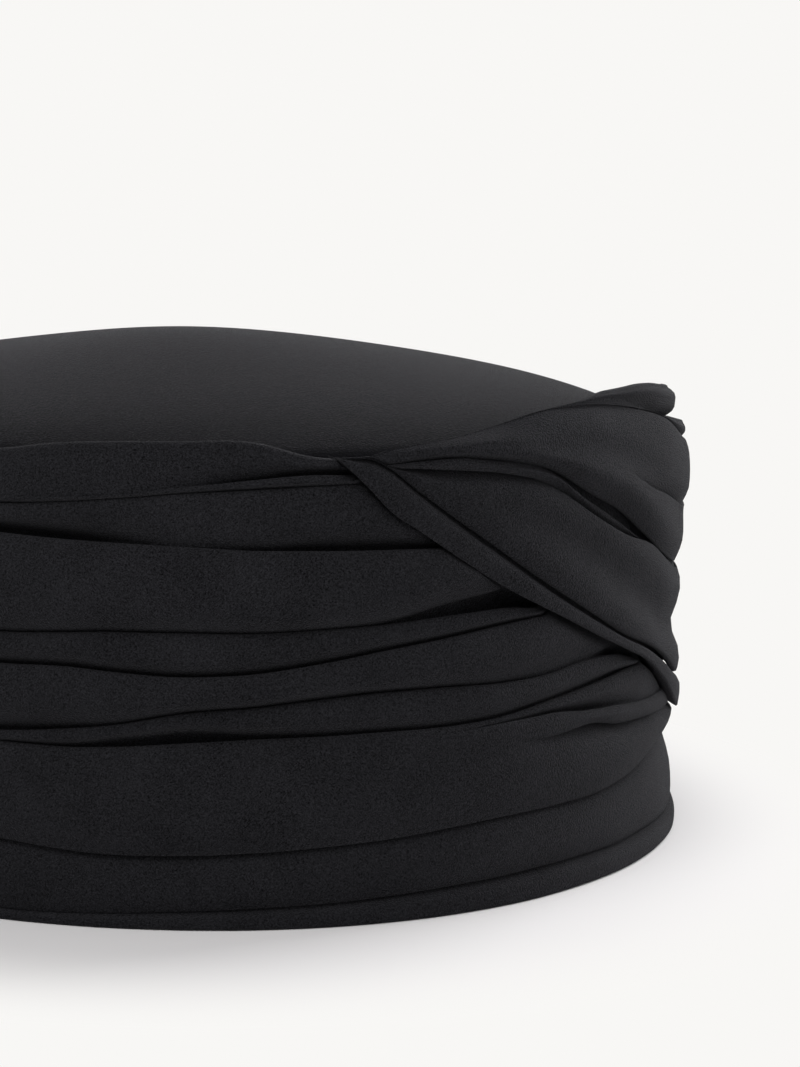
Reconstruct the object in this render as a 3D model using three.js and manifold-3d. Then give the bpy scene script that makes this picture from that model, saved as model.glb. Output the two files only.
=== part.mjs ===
// A draped toque: a shallow domed crown on an oval wall, a pleated wrap round that wall, and a crossing
// swathe that fans out of a tuck at the centre front, goes round the right-hand side and is tucked in behind.
// Millimetres, +Z up. The origin is the middle of the flat underside, and the front of the hat faces -Y.
import * as THREE from "three";
import { mergeVertices } from "three/addons/utils/BufferGeometryUtils.js";
import Module from "manifold-3d";

const wasm = await Module();
wasm.setup();

// Driving sizes. The head opening is an oval of about 570 mm round.
const HEAD_HALF_WIDTH = 81.5;
const HEAD_HALF_LENGTH = 99.5;
const CROWN_WALL = 2.8;
const DRAPE_DEPTH = 12; // from the head opening to the outer face of the drape
const GAP = 0.3; // left between pieces that lie against each other

const CROWN_HEIGHT = 93;
const DOME_INSET = 0.5; // the dome's edge lies this far inside the head opening's outline
const DOME_DROP = 11.4; // from the top of the dome to its edge, without the brow
const DOME_ROUNDNESS = 1.2; // power of the dome's fall once past its nearly level middle
const DOME_LEVEL = 0.2; // share of the oval over which the middle is nearly level
const DOME_BROW = 1.8; // the further fall at the very edge
const DOME_BROW_POWER = 8;
const DOME_RINGS = 7;
const SHOULDER = { out: 1.7, down: 1.6 }; // middle of the rounded shoulder, from the head opening and dome's edge
const SHOULDER_DROP = 5; // from the dome's edge to the top of the upright wall
const INNER_SHOULDER = { out: -1.6, down: 5 }; // the same rounding inside
const INNER_WALL_DROP = 9; // from the dome's edge to the top of the inside wall
const INNER_DOME_INSET = 5; // the inside dome's edge, from the head opening's outline
const HEM_HEIGHT = 1.2;
const HEM_INSET = 0.4; // how far the hem stays inside the drape's outline

const STATIONS = 64; // sections in a full turn
const STEP = 360 / STATIONS;
const PLEAT_BELLY = 1.1; // how far a pleat swells between its two edges
const FULL_BELLY = 8; // a pleat lower than this swells less
const PLEAT_HIGH = 0.3; // shares of a pleat's height, from its top, where its face has a corner
const PLEAT_LOW = 0.65;
const HIGH_BELLY = 0.8; // share of the belly at the upper of those corners
const PLEAT_STEP = 2.2; // how far a pleat's hidden edge lies behind the edge that laps over it
const LIP = 0.5; // height of the turn at a pleat's edge
const WRAP_FACE = -1.2; // the wrap's outer edges, measured out from the drape's outline
const SWATHE_FACE = 0.9;
const SWATHE_DEPTH = 4.4; // from the swathe's outer edges to its back
const SEAT = 78.9; // greatest height at which the swathe turns inward over the wrap's rim
const TURN = 3.5; // least height of the swathe's rim over that turn
const WRAP_RIM = { across: 3, down: 0.6, wall: 4 }; // slope inward from the wrap's rim to its plain inner wall
const WALL_FACE = CROWN_WALL + GAP; // where the wrap's inner wall stands
const SMALLEST = 0.03; // details under this size are left out of a cut piece
const SAME_POINT = 1e-4; // points nearer than this are one

// Fold edges of the wrap, from the top down. Columns are degrees round from the centre front, positive
// towards +X. Heights are of each fold's upper edge. laps tells which cloth lies in front at that edge:
// "lower" where the fold below stands up in front, "upper" where the fold above hangs over.
const WRAP_COLUMNS = [-150, -90, -36, -27, -18, -9, 0, 9, 18, 27, 36, 54, 90, 150];
const WRAP_EDGES = [
  { laps: "lower", height: [79.5, 82, 81.2, 82.9, 83.3, 81.8, 79, 77.6, 76, 75.2, 75, 74, 69.4, 72.8] },
  { laps: "lower", height: [73, 73.7, 72, 73.2, 74.7, 75.5, 75.8, 74.5, 72.8, 71.8, 71.3, 70.5, 66.2, 69] },
  { laps: "lower", height: [66.5, 68.3, 67.1, 66.5, 66, 65, 64.4, 63.8, 63.6, 63.6, 63.6, 63.6, 62.6, 64] },
  { laps: "lower", height: [52, 50.5, 50, 50.8, 51.1, 51.3, 52.2, 53.4, 54.5, 54.5, 54, 53, 53, 53] },
  { laps: "lower", height: [45.5, 45.5, 44.6, 44.5, 43.6, 44.8, 47.4, 49.4, 50.5, 50.6, 50, 49, 48, 47] },
  { laps: "lower", height: [35, 34, 33.6, 34.8, 38.1, 40.2, 40.7, 40, 39.9, 41, 41.5, 40, 38, 36.5] },
  { laps: "lower", height: [31, 31.2, 31.6, 31.8, 32.5, 33.3, 33.5, 33.3, 34.5, 36.2, 37, 36, 34, 32] },
  { laps: "upper", height: [14.5, 15, 13.9, 12.8, 12.8, 13.6, 14.3, 15, 15.4, 16, 17, 16, 15, 14.5] },
  { laps: "upper", height: [4, 4, 3.4, 3.2, 3.3, 3.7, 4.4, 5.3, 5.5, 5.2, 4.8, 4.4, 4, 4] },
  { laps: "upper", height: [1.5, 1.5, 1.5, 1.5, 1.5, 1.5, 1.5, 1.5, 1.5, 1.5, 1.5, 1.5, 1.5, 1.5] },
];

// Fold edges of the crossing swathe, in the same way. Its columns run from the front tuck round the
// right-hand side to the back tuck, where all the folds come together again.
const SWATHE_COLUMNS = [-6, 0, 6, 12, 18, 24, 30, 36, 42, 55, 75, 105, 150, 180, 200, 214];
const SWATHE_EDGES = [
  { laps: "lower", height: [82.4, 82.6, 83.2, 84.6, 86.3, 87, 87.5, 87.5, 86.9, 84.4, 79.6, 73.5, 77, 80.6, 82, 82.4] },
  { laps: "lower", height: [81.6, 81.7, 82.3, 83.7, 85.4, 85.9, 84.9, 83, 80.5, 74.6, 71, 69.2, 71.5, 76.5, 80.2, 81.6] },
  { laps: "lower", height: [80.8, 79, 78.2, 77, 74.4, 68.6, 64, 59.5, 55, 50.4, 48.8, 48.8, 54, 65, 75.6, 80.8] },
  { laps: "upper", height: [80, 77.8, 70, 62.2, 55, 48.8, 44.3, 39.9, 35.4, 29, 27, 27, 33, 50, 67, 80] },
  { laps: "upper", height: [78, 71.6, 63.3, 56.2, 50.6, 45.4, 41, 36.8, 31.3, 22.4, 20, 20, 25, 42, 62, 78] },
];

// Smooth value at an angle from a row of a table. The curve passes through every column.
function valueAt(columns, row, angle) {
  const last = columns.length - 1;
  const inside = Math.min(Math.max(angle, columns[0]), columns[last]);
  const left = Math.min(Math.max(columns.findIndex((c) => c > inside) - 1, 0), last - 1);
  const k = inside >= columns[last] ? last - 1 : left;
  const slope = (i) => {
    const before = Math.max(i - 1, 0);
    const after = Math.min(i + 1, last);
    return (row[after] - row[before]) / (columns[after] - columns[before]);
  };
  const span = columns[k + 1] - columns[k];
  const t = (inside - columns[k]) / span;
  const rise = t * t * (3 - 2 * t);
  const leave = t * (1 - t) * (1 - t) * slope(k) * span;
  const arrive = t * t * (t - 1) * slope(k + 1) * span;
  return row[k] + (row[k + 1] - row[k]) * rise + leave + arrive;
}

// The wrap's table closes on itself: its first column comes again one turn further on.
function closedTurn(columns, rows) {
  const turn = 360;
  return {
    columns: [columns.at(-1) - turn, ...columns, columns[0] + turn],
    rows: rows.map((r) => ({ ...r, height: [r.height.at(-1), ...r.height, r.height[0]] })),
  };
}

// Point at a polar angle from the front, at a distance out from the head opening's oval.
function onOval(angle, out, height) {
  const a = THREE.MathUtils.degToRad(angle);
  const across = Math.sin(a);
  const along = -Math.cos(a);
  const reach = 1 / Math.hypot(across / (HEAD_HALF_WIDTH + out), along / (HEAD_HALF_LENGTH + out));
  return [across * reach, along * reach, height];
}

// Outer side of a pleated section, from its top edge to its foot, as [out, height] pairs.
function pleatChain(edges, face) {
  const chain = [];
  for (let i = 0; i < edges.length - 1; i++) {
    const top = edges[i];
    const foot = edges[i + 1];
    const hiddenTop = i > 0 && top.laps === "upper";
    const hiddenFoot = foot.laps === "lower";
    const start = face - (hiddenTop ? PLEAT_STEP : 0);
    const end = face - (hiddenFoot ? PLEAT_STEP : 0);
    const tall = top.height - foot.height;
    const lip = Math.min(LIP, tall / 3);
    const belly = PLEAT_BELLY * Math.min(1, tall / FULL_BELLY);
    chain.push([start - (hiddenTop ? 0 : LIP), top.height - (hiddenTop ? lip : 0)]);
    chain.push([start + (end - start) * PLEAT_HIGH + belly * HIGH_BELLY, top.height - tall * PLEAT_HIGH]);
    chain.push([start + (end - start) * PLEAT_LOW + belly, top.height - tall * PLEAT_LOW]);
    chain.push([end, foot.height + (hiddenFoot ? lip : lip / 2)]);
  }
  return chain;
}

// Fold edges at one angle. raise lifts the topmost and lowers the lowest.
function edgesAt(columns, rows, angle, raise = 0) {
  return rows.map((row, i) => ({
    laps: row.laps,
    height: valueAt(columns, row.height, angle) + (i === 0 ? raise : i === rows.length - 1 ? -raise : 0),
  }));
}

// Cross-section of the wrap: pleats outside, a plain wall inside.
function wrapSection(table, angle) {
  const edges = edgesAt(table.columns, table.rows, angle);
  const rim = edges[0].height;
  const outer = pleatChain(edges, DRAPE_DEPTH + WRAP_FACE);
  const slope = [[WALL_FACE, rim - WRAP_RIM.wall], [WALL_FACE + WRAP_RIM.across, rim - WRAP_RIM.down]];
  return [...slope, ...outer, [WALL_FACE, edges.at(-1).height]];
}

// Cross-section of the swathe: pleats outside, a plain back, and a turn over the wrap's rim at the top.
// spare makes the whole section that much fatter, which is the room that the wrap leaves for it.
function swatheSection(angle, spare) {
  const edges = edgesAt(SWATHE_COLUMNS, SWATHE_EDGES, angle, spare);
  const face = DRAPE_DEPTH + SWATHE_FACE + spare;
  const back = DRAPE_DEPTH + SWATHE_FACE - SWATHE_DEPTH - spare;
  const turned = WALL_FACE + GAP - spare;
  const rim = edges[0].height;
  const foot = edges.at(-1).height;
  const seat = Math.max(Math.min(SEAT, rim - TURN) - spare, foot + LIP);
  return [
    [back, foot],
    [back, seat],
    [turned, seat + LIP],
    [turned, Math.max(rim - TURN + 2 * LIP, seat + 3 * LIP)],
    [back + 1, rim - LIP],
    ...pleatChain(edges, face),
  ];
}

// Closed mesh through a list of closed sections of equal length. An open run gets a flat cap at each end.
function throughSections(sections, closed) {
  const count = sections[0].points.length;
  const positions = sections.flatMap((s) => s.points.flatMap(([out, height]) => onOval(s.angle, out, height)));
  const faces = [];
  const spans = closed ? sections.length : sections.length - 1;
  for (let s = 0; s < spans; s++) {
    const here = s * count;
    const next = ((s + 1) % sections.length) * count;
    for (let i = 0; i < count; i++) {
      const j = (i + 1) % count;
      faces.push(here + i, here + j, next + j, here + i, next + j, next + i);
    }
  }
  if (!closed) {
    for (const end of [0, sections.length - 1]) {
      const outline = sections[end].points.map(([out, height]) => new THREE.Vector2(out, height));
      for (const [a, b, c] of THREE.ShapeUtils.triangulateShape(outline, [])) {
        const at = end * count;
        faces.push(...(end === 0 ? [at + a, at + b, at + c] : [at + a, at + c, at + b]));
      }
    }
  }
  return meshGeometry(positions, faces);
}

function meshGeometry(positions, faces) {
  const geometry = new THREE.BufferGeometry();
  geometry.setAttribute("position", new THREE.Float32BufferAttribute(positions, 3));
  geometry.setIndex(faces);
  return geometry;
}

function toSolid(geometry) {
  const merged = mergeVertices(geometry, SAME_POINT);
  return new wasm.Manifold(
    new wasm.Mesh({
      numProp: 3,
      vertProperties: new Float32Array(merged.getAttribute("position").array),
      triVerts: new Uint32Array(merged.index.array),
    }),
  );
}

function toGeometry(solid) {
  const mesh = solid.getMesh();
  return meshGeometry(Array.from(mesh.vertProperties), Array.from(mesh.triVerts));
}

// The crown: rings from the top of the dome, down the wall, round the hem and back up inside to the dome.
function crownGeometry() {
  const level = DOME_LEVEL ** DOME_ROUNDNESS;
  const slope = (share) => Math.hypot(share, DOME_LEVEL) ** DOME_ROUNDNESS - level;
  const fall = (share) => (DOME_DROP * slope(share)) / slope(1) + DOME_BROW * share ** DOME_BROW_POWER;
  const domeRings = Array.from({ length: DOME_RINGS }, (_, i) => (i + 1) / DOME_RINGS);
  const scaled = (share, inset, height) => ({
    width: (HEAD_HALF_WIDTH - inset) * share,
    length: (HEAD_HALF_LENGTH - inset) * share,
    height,
  });
  const out = (distance, height) => scaled(1, -distance, height);
  const outside = domeRings.map((s) => scaled(s, DOME_INSET, CROWN_HEIGHT - fall(s)));
  const inside = domeRings.map((s) => scaled(s, INNER_DOME_INSET, CROWN_HEIGHT - CROWN_WALL - fall(s)));
  const edge = CROWN_HEIGHT - fall(1);
  const hemOut = DRAPE_DEPTH - HEM_INSET;
  const rings = [
    ...outside,
    out(SHOULDER.out, edge - SHOULDER.down),
    out(CROWN_WALL, edge - SHOULDER_DROP),
    out(CROWN_WALL, HEM_HEIGHT),
    out(hemOut, HEM_HEIGHT),
    out(hemOut, 0),
    out(0, 0),
    out(0, edge - INNER_WALL_DROP),
    out(INNER_SHOULDER.out, edge - INNER_SHOULDER.down),
    ...inside.reverse(),
  ];
  const positions = [0, 0, CROWN_HEIGHT];
  for (const ring of rings) {
    for (let i = 0; i < STATIONS; i++) {
      const t = (2 * Math.PI * i) / STATIONS;
      positions.push(ring.width * Math.sin(t), -ring.length * Math.cos(t), ring.height);
    }
  }
  positions.push(0, 0, CROWN_HEIGHT - CROWN_WALL);
  const faces = [];
  const lastPoint = rings.length * STATIONS + 1;
  for (let i = 0; i < STATIONS; i++) {
    const j = (i + 1) % STATIONS;
    faces.push(0, 1 + i, 1 + j);
    for (let r = 0; r < rings.length - 1; r++) {
      const a = 1 + r * STATIONS;
      const b = a + STATIONS;
      faces.push(a + i, b + i, b + j, a + i, b + j, a + j);
    }
    const a = 1 + (rings.length - 1) * STATIONS;
    faces.push(a + i, lastPoint, a + j);
  }
  return meshGeometry(positions, faces);
}

function swatheGeometry(spare) {
  const first = SWATHE_COLUMNS[0];
  const last = SWATHE_COLUMNS.at(-1);
  const steps = Math.floor((last - first) / STEP);
  const start = STEP * Math.ceil(first / STEP);
  const angles = Array.from({ length: steps + 1 }, (_, i) => start + STEP * i);
  angles[0] -= spare;
  angles[steps] += spare;
  return throughSections(angles.map((angle) => ({ angle, points: swatheSection(angle, spare) })), false);
}

// The wrap all the way round, less the room that the swathe takes where it lies over it.
function wrapGeometry() {
  const table = closedTurn(WRAP_COLUMNS, WRAP_EDGES);
  const angles = Array.from({ length: STATIONS }, (_, i) => -180 + (360 * i) / STATIONS);
  const onTable = (angle) => (angle < WRAP_COLUMNS[0] ? angle + 360 : angle);
  const sections = angles.map((angle) => ({ angle, points: wrapSection(table, onTable(angle)) }));
  const cut = toSolid(throughSections(sections, true)).subtract(toSolid(swatheGeometry(GAP)));
  const bodies = cut.simplify(SMALLEST).decompose().sort((a, b) => b.volume() - a.volume());
  return toGeometry(bodies[0]);
}

const crepe = new THREE.MeshStandardMaterial({ color: "#1f1f21", roughness: 0.9, metalness: 0 });
const dullCrepe = new THREE.MeshStandardMaterial({ color: "#232325", roughness: 0.92, metalness: 0 });

function piece(name, geometry, material) {
  const mesh = new THREE.Mesh(geometry, material);
  mesh.name = name;
  return mesh;
}

const group = new THREE.Group();
group.add(piece("crown", crownGeometry(), dullCrepe));
group.add(piece("wrap", wrapGeometry(), crepe));
group.add(piece("crossing_swathe", swatheGeometry(0), crepe));

export default group;
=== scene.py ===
"""A draped toque in black crepe: a smooth domed crown, a pleated wrap round its wall, and a crossing
swathe that fans out of a tuck at the centre front, goes round the right-hand side and is tucked in behind.

Lengths in the tables are millimetres, and angles are degrees round from the centre front towards +X.
Left and right are as seen from the front, so +X is on the right. Pieces are made in metres.
"""

import math

import bmesh
import bpy
import numpy as np
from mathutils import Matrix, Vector


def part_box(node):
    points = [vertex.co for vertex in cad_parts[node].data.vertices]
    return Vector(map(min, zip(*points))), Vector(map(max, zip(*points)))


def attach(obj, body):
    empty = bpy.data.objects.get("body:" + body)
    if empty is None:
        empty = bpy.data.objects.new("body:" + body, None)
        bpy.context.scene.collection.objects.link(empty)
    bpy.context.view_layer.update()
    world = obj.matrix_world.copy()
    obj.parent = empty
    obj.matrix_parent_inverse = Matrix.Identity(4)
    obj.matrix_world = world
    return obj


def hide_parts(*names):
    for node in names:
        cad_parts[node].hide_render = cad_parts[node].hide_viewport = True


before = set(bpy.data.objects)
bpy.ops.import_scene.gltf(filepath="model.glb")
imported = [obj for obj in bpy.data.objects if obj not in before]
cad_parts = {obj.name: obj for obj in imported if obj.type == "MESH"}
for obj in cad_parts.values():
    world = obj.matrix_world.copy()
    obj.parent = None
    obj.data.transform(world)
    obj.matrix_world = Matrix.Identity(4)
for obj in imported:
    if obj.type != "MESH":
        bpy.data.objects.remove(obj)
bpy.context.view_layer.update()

MM = 0.001
FULL_TURN = 360

# ---------------------------------------------------------------------------------------------
# Sizes that come from the frame
# ---------------------------------------------------------------------------------------------

crown_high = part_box("crown")[1]
HEM_SETBACK = 0.4  # the frame's hem stays this far inside the drape's outline
DRAPE_DEPTH = 12.0  # from the head opening out to the drape's outline
WALL = 2.8  # thickness of the crown's stiffened wall
OUTLINE_HALF_WIDTH = crown_high.x / MM + HEM_SETBACK
OUTLINE_HALF_LENGTH = crown_high.y / MM + HEM_SETBACK
CROWN_TOP = crown_high.z / MM

# ---------------------------------------------------------------------------------------------
# The wrap. WRAP_AT holds the angles of the tables' columns, and WRAP_RIM and WRAP_FOOT the heights
# of the wrap's two edges.
# A tuck is the crevice between a fold and the fold below it: over is 0 where the lower fold's edge
# stands in front and 1 where the upper fold hangs over, deep is 0 where the tuck has faded out, and
# gape is how far it stands open. back, where given, takes the place of SET_BACK.
# ---------------------------------------------------------------------------------------------

WRAP_AT = [-150, -110, -70, -42, -36, -30, -24, -18, -12, -6, 0, 6, 12, 18, 24, 30, 36, 42, 55, 75, 105, 150]
WRAP_RIM = [
    79.5, 82, 81.8, 80.9, 81.2, 82.5, 83.1, 83.3, 83.1, 80.2, 79.6, 78, 77, 76, 75, 75, 75, 74.8, 74, 72.5,
    69.3, 72.8,
]
WRAP_FOOT = 0.1
WRAP_TUCKS = [
    dict(  # top fold over the small roll that runs into the centre tuck
        over=0,
        height=[
            75.5, 76, 76, 74.4, 73.9, 74, 74.6, 75.7, 76.8, 77.5, 77, 76.3, 75.2, 74.2, 73.2, 73, 72.8, 72.6,
            72.4, 70.5, 67.5, 71,
        ],
        deep=[0, 0, 0, 0, 0, 0, 0, 0.3, 0.75, 1, 1, 0.5, 0, 0, 0, 0, 0, 0, 0, 0, 0, 0],
        gape=[0, 0, 0, 0, 0, 0, 0, 0, 0.1, 0.5, 0.4, 0, 0, 0, 0, 0, 0, 0, 0, 0, 0, 0],
    ),
    dict(  # top fold / second fold
        over=0,
        height=[
            73, 73.8, 73.5, 72, 72, 72.7, 73.7, 74.7, 75.2, 75.7, 75.9, 75.2, 73.8, 72.8, 72, 71.6, 71.3, 71,
            70.8, 68.5, 65.5, 69.5,
        ],
        deep=[1, 1, 1, 1, 1, 1, 1, 1, 1, 0.75, 0.6, 0.6, 1, 1, 1, 1, 1, 1, 1, 1, 1, 1],
        gape=[0, 0, 0, 0, 0, 0, 0, 0.15, 0.3, 0.1, 0, 0, 0, 0, 0, 0, 0, 0, 0, 0, 0, 0],
    ),
    dict(  # second fold / broad third fold
        over=0,
        height=[
            66.5, 68, 68.5, 67.3, 67.1, 66.6, 66.3, 66, 65.2, 64.7, 64.4, 64, 63.6, 63.6, 63.6, 63.6, 63.6,
            63.6, 63.6, 63.6, 62.5, 64,
        ],
        deep=[1, 1, 1, 1, 1, 1, 0.7, 0.3, 0.6, 1, 1, 1, 1, 1, 1, 1, 1, 1, 1, 1, 1, 1],
        gape=[0.2, 0.3, 0.4, 0.6, 0.5, 0.3, 0.1, 0, 0.1, 0.7, 0.9, 0.3, 0, 0, 0, 0, 0, 0, 0, 0, 0, 0.2],
    ),
    dict(  # broad third fold / narrow fourth fold, with a slot that opens towards the swathe
        over=0,
        height=[
            52, 51, 50.4, 50, 50, 50.5, 51, 51, 50.9, 51.2, 51.6, 52.2, 52.5, 51.6, 51, 51, 51, 51, 50.6, 50,
            50, 52,
        ],
        deep=1,
        gape=[0, 0.1, 0, 0, 0, 0, 0, 0, 0, 0, 0.2, 1.9, 3.2, 4.5, 3.5, 1, 0, 0, 0, 0, 0, 0],
    ),
    dict(  # fourth / fifth fold
        over=0,
        height=[
            45.5, 45.5, 45, 44.6, 44.6, 44.8, 44.1, 43.5, 43.9, 45.3, 47, 48.3, 49.5, 50.2, 50.3, 50, 49.4,
            48.8, 48, 47.5, 47, 46.5,
        ],
        deep=1, gape=0,
    ),
    dict(  # fifth / sixth fold, which softens to a valley towards the right
        over=0,
        height=[
            35, 34.6, 33.8, 32.7, 32.9, 33.8, 35.1, 37.1, 38, 39.3, 40, 39.8, 39.3, 39.6, 40.7, 39.8, 37.4,
            37, 37, 37.5, 37, 36.5,
        ],
        deep=[1, 1, 1, 1, 1, 1, 1, 1, 1, 1, 1, 1, 0.9, 0.5, 0.35, 0.8, 1, 1, 1, 1, 1, 1],
        gape=[0.2, 0.2, 0.4, 0.5, 0.5, 0.3, 0.1, 0, 0.1, 0.1, 0, 0, 0, 0, 0, 1.2, 2, 1, 0, 0, 0, 0.1],
    ),
    dict(  # sixth / seventh fold, with a slit that opens on the left
        over=0,
        height=[
            31.2, 31.2, 31.1, 31, 31, 31, 31.4, 32.1, 32.6, 32.9, 33.1, 33, 33.3, 34.4, 35.3, 36, 36.3, 36,
            35.5, 35, 34, 32,
        ],
        deep=1,
        gape=[0.3, 0.3, 0.2, 0, 0, 0, 1.1, 2, 1, 0.3, 0.1, 0, 0, 0, 0, 0, 0, 0, 0, 0, 0.1, 0.2],
    ),
    dict(  # seventh fold / broad eighth fold, a short fold on the right only
        over=0,
        height=[
            28.5, 28.7, 29, 29, 29, 29, 29.2, 29.9, 30.6, 31, 31.4, 31.8, 32.4, 32.5, 31.4, 30.6, 29.6, 29.2,
            28.8, 28.5, 28, 28.3,
        ],
        deep=[0, 0, 0, 0, 0, 0, 0, 0, 0, 0, 0, 0.15, 0.6, 0.9, 0.9, 0.6, 0.3, 0.2, 0.1, 0, 0, 0],
        gape=[0, 0, 0, 0, 0, 0, 0, 0, 0, 0, 0, 0, 0, 0.1, 0.3, 0.1, 0, 0, 0, 0, 0, 0],
    ),
    dict(  # a pocket in the eighth fold
        over=1,
        height=[
            25, 25.2, 25.5, 25.6, 25.6, 25.6, 25.8, 26.4, 27, 27.4, 27.8, 28.2, 28.4, 28.2, 28.8, 27, 26,
            25.2, 24.5, 24.5, 24.5, 24.8,
        ],
        deep=[0, 0, 0, 0, 0, 0, 0, 0, 0, 0, 0, 0, 0, 0.3, 1, 1, 0.7, 0.4, 0.2, 0.1, 0, 0],
        gape=[0, 0, 0, 0, 0, 0, 0, 0, 0, 0, 0, 0, 0, 0, 0.5, 0.2, 0, 0, 0, 0, 0, 0],
    ),
    dict(  # eighth fold hangs over the ninth
        over=1, back=0.7,
        height=[
            14.5, 15, 14.8, 14, 13.9, 13.1, 12.6, 12.8, 13.3, 13.9, 14.4, 15, 15.5, 15.6, 15.6, 16.3, 17.4,
            18.5, 17.5, 16, 15, 14.5,
        ],
        deep=1, gape=0,
    ),
    dict(  # ninth fold hangs over the lowest
        over=1,
        height=[4, 4, 3, 1.6, 1.6, 1.9, 2.3, 2.8, 3.3, 3.8, 4.4, 4.8, 4.9, 5, 4.9, 4.7, 4.6, 4.3, 3, 3, 4, 4],
        deep=[1, 1, 1, 0.8, 0.7, 0.7, 0.9, 1, 1, 1, 1, 1, 1, 1, 1, 1, 1, 1, 1, 1, 1, 1],
        gape=0,
    ),
]
# For each fold: how far its face stands out from the drape's outline, how far it leans back at its top
# and turns under at its foot, the swell of its middle, how many millimetres the face takes to turn in
# at its top and foot, and how far the top fold's rim lies behind its face
WRAP_FOLDS = [
    dict(
        stands=[
            -1.6, -1.6, -1.6, -1.6, -1.6, -1.6, -1.6, -1.7, -1.9, -2.3, -2.6, -2.6, -2.6, -2.6, -2.6, -2.6,
            -2.6, -2.6, -2.6, -2.6, -2.6, -1.6,
        ],
        swell=0.3, top=3, foot=4.5, rim=0.5,
    ),
    dict(stands=-0.9, swell=0.1, top=1.2, foot=1.2),
    dict(
        stands=-0.9, swell=0.3, top=2,
        foot=[2, 2, 2, 2, 3, 5.5, 5.5, 2, 1.5, 2.5, 3, 3, 2, 2, 2, 2, 2, 2, 2, 2, 2, 2],
        under=[0, 0, 0.5, 1, 1.2, 1.5, 1, 0, 0, 0, 0, 0, 0, 0, 0, 0, 0, 0, 0, 0, 0, 0],
    ),
    dict(
        stands=0.3, swell=0.5, top=3,
        foot=[3, 3, 3, 3, 3, 3, 3, 3, 3, 3, 3, 4, 5, 5, 4, 3, 3, 3, 3, 3, 3, 3],
    ),
    dict(stands=-0.3, swell=0.2, top=2, foot=2.5),
    dict(
        stands=0.0, swell=0.3, top=2.5,
        foot=[3, 3, 4, 5, 5, 4.5, 3, 2, 2, 2, 2, 3, 4, 6, 6, 5, 3, 3, 3, 3, 3, 3],
        under=[0, 0, 0.5, 1, 1, 0.8, 0, 0, 0, 0, 0, 0, 0, 0.6, 0.8, 0.6, 0, 0, 0, 0, 0, 0],
    ),
    dict(
        stands=-0.5, swell=0.2,
        top=[2, 2, 2, 2, 2, 2, 2, 2, 2, 2, 2, 2, 2, 3.5, 4.5, 2, 2, 2, 2, 2, 2, 2],
        foot=3,
    ),
    dict(
        stands=-0.5, swell=0.1, top=1.5,
        foot=[2, 2, 2, 2, 2, 2, 2, 2, 2, 2, 2, 2, 2, 3, 3, 3, 3, 3, 3, 2, 2, 2],
    ),
    dict(stands=0.1, swell=0.1, top=1.5, foot=1.5),
    dict(
        stands=0.1, swell=0.5,
        top=[
            2.5, 2.5, 2.5, 2.5, 2.5, 2.5, 2.5, 2.5, 2.5, 2.5, 2.5, 2.5, 2.5, 3, 4, 4, 4, 3.5, 3, 2.5, 2.5,
            2.5,
        ],
        foot=2.5,
    ),
    dict(stands=-0.5, swell=0.4, top=1.5, foot=2),
    dict(stands=0.4, swell=0.1, top=2, foot=1),
]
# soft hollows (less than nothing) and swellings of the cloth: where they run, how far, and half their height
WRAP_HOLLOWS = [
    dict(  # the foot of the eighth fold falls in at the right-hand side
        height=16.5,
        out=[0, 0, 0, 0, 0, 0, 0, 0, 0, 0, 0, 0, 0, 0, 0, 0, -0.3, -0.8, -1.6, -1.2, -0.5, 0],
        reach=5,
    ),
    dict(  # and the lowest fold stands out there
        height=2.5,
        out=[0, 0, 0, 0, 0, 0, 0, 0, 0, 0, 0, 0, 0, 0, 0.1, 0.3, 0.3, 0.3, 0.3, 0.2, 0.1, 0],
        reach=4,
    ),
]

# ---------------------------------------------------------------------------------------------
# The crossing swathe, from the front tuck round the right-hand side to the tuck behind
# ---------------------------------------------------------------------------------------------

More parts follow.
